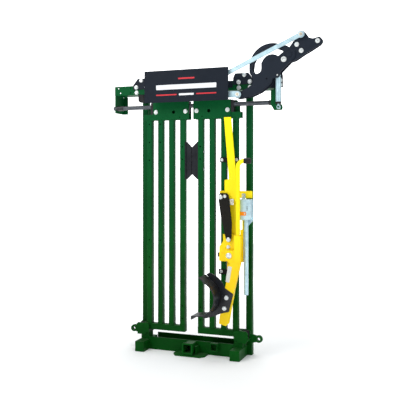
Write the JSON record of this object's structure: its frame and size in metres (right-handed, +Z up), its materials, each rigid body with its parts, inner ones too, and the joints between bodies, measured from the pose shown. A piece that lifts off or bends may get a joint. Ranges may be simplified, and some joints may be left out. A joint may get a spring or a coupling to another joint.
{
  "type": "cattle head gate",
  "caption": "Front head gate of a cattle squeeze chute: two sliding barred doors opened by an overhead lever, with a swing-up head holder.",
  "frame": {"origin": "on the ground, on the underside of the base beam, where the two doors meet", "axes": "+X to the right seen from the animal's exit side (the pictured front), +Y towards the back where the chute would join, +Z up"},
  "size_m": [1.7819, 0.415, 2.51],
  "materials": {
    "green_paint": "gloss",
    "black_paint": "satin",
    "yellow_paint": "gloss",
    "sign_paint": "satin",
    "zinc_plate": "satin",
    "nylon": "matte",
    "rubber": "matte",
    "orange_plastic": "gloss"
  },
  "bodies": {
    "frame": {"base_beam": "green_paint", "feet": "green_paint", "posts": "green_paint", "large_receiver": "green_paint", "receiver_base_plate": "green_paint", "small_receiver": "green_paint", "top_beam": "green_paint", "slide_bar": "black_paint", "end_brackets": "green_paint", "bar_collars": "black_paint", "clamp_plates": "black_paint", "frame_bolts": "zinc_plate", "beam_bumpers": "rubber", "sign_panel": "sign_paint", "sign_brackets": "black_paint", "guide_brackets": "green_paint", "guide_pads": "nylon", "pin_lugs": "green_paint", "lever_bracket": "black_paint"},
    "left_door": {"left_door_bars": "green_paint", "left_door_rails": "green_paint", "left_hanger_plates": "green_paint", "left_bushings": "nylon", "left_door_bolts": "zinc_plate", "left_neck_pad": "rubber", "left_link_lug": "black_paint"},
    "right_door": {"right_door_bars": "green_paint", "right_door_rails": "green_paint", "right_hanger_plates": "green_paint", "right_bushings": "nylon", "right_door_bolts": "zinc_plate", "right_neck_pad": "rubber", "right_link_lug": "black_paint", "holder_straps": "green_paint", "holder_frame": "yellow_paint", "holder_bolts": "zinc_plate", "lock_box": "zinc_plate", "lock_plates": "zinc_plate"},
    "gate_lever": {"lever_front_plate": "black_paint", "lever_back_plate": "black_paint", "lever_spacers": "zinc_plate", "lever_tip_plates": "black_paint", "lever_bolts": "zinc_plate"},
    "upper_link_body": {"upper_link": "zinc_plate"},
    "lower_link_body": {"lower_link": "zinc_plate"},
    "strut_tube_body": {"strut_tube": "zinc_plate", "strut_cap": "rubber"},
    "strut_rod_body": {"strut_rod": "zinc_plate"},
    "lift_lever_body": {"lift_lever": "yellow_paint"},
    "drive_link_body": {"drive_link": "black_paint", "drive_link_bolts": "zinc_plate"},
    "carriage_body": {"carriage": "yellow_paint", "bump_stop": "rubber", "lock_tube": "zinc_plate"},
    "swing_arm_body": {"swing_arm": "yellow_paint", "hand_tube": "yellow_paint", "hand_grip": "rubber", "cradle": "black_paint", "arm_bolts": "zinc_plate"},
    "release_tab_body": {"release_tab": "orange_plastic"}
  },
  "joints": [
    {"name": "gate_lever_turn", "type": "hinge", "parent": "frame", "child": "gate_lever", "pos_m": [0.684, -0.074, 2.268], "axis": [0, -1, 0], "range_deg": [0, 48]},
    {"name": "left_door_slide", "type": "slide", "parent": "frame", "child": "left_door", "axis": [-1, 0, 0], "range_m": [0, 0.1821]},
    {"name": "right_door_slide", "type": "slide", "parent": "frame", "child": "right_door", "axis": [1, 0, 0], "range_m": [0, 0.2786]},
    {"name": "upper_link_turn", "type": "hinge", "parent": "gate_lever", "child": "upper_link_body", "pos_m": [0.917, -0.121, 2.48], "axis": [0, -1, 0], "range_deg": [-42, 0]},
    {"name": "lower_link_turn", "type": "hinge", "parent": "gate_lever", "child": "lower_link_body", "pos_m": [0.424, -0.121, 2.053], "axis": [0, -1, 0], "range_deg": [-72, 0]},
    {"name": "strut_tube_turn", "type": "hinge", "parent": "gate_lever", "child": "strut_tube_body", "pos_m": [0.733, -0.074, 2.189], "axis": [0, -1, 0], "range_deg": [-57, 0]},
    {"name": "strut_rod_turn", "type": "hinge", "parent": "frame", "child": "strut_rod_body", "pos_m": [0.735, -0.074, 1.95], "axis": [0, 1, 0], "range_deg": [0, 9]},
    {"name": "lift_lever_turn", "type": "hinge", "parent": "right_door", "child": "lift_lever_body", "pos_m": [0.353, -0.061, 1.222], "axis": [0, 1, 0], "range_deg": [0, 40]},
    {"name": "drive_link_turn", "type": "hinge", "parent": "lift_lever_body", "child": "drive_link_body", "pos_m": [0.273, -0.088, 1.26], "axis": [0, 1, 0], "range_deg": [-33.2, 0]},
    {"name": "carriage_slide", "type": "slide", "parent": "right_door", "child": "carriage_body", "axis": [0, 0, 1], "range_m": [0, 0.0384]},
    {"name": "swing_arm_turn", "type": "hinge", "parent": "carriage_body", "child": "swing_arm_body", "pos_m": [0.356, -0.113, 0.809], "axis": [0, 1, 0], "range_deg": [0, 90]},
    {"name": "release_tab_turn", "type": "hinge", "parent": "right_door", "child": "release_tab_body", "pos_m": [0.474, -0.097, 1.133], "axis": [0, -1, 0], "range_deg": [0, 12], "stiffness_Nm_per_rad": 0.5}
  ],
  "couplings": [
    {"joint": "left_door_slide", "follows": "gate_lever_turn", "m_per_rad": 0.2171},
    {"joint": "right_door_slide", "follows": "gate_lever_turn", "m_per_rad": 0.33225},
    {"joint": "upper_link_turn", "follows": "gate_lever_turn", "ratio": -0.87146},
    {"joint": "lower_link_turn", "follows": "gate_lever_turn", "ratio": -1.4908},
    {"joint": "strut_tube_turn", "follows": "gate_lever_turn", "ratio": -1.185},
    {"joint": "strut_rod_turn", "follows": "gate_lever_turn", "ratio": 0.185},
    {"joint": "drive_link_turn", "follows": "lift_lever_turn", "ratio": -0.82677},
    {"joint": "carriage_slide", "follows": "lift_lever_turn", "m_per_rad": 0.05483}
  ]
}
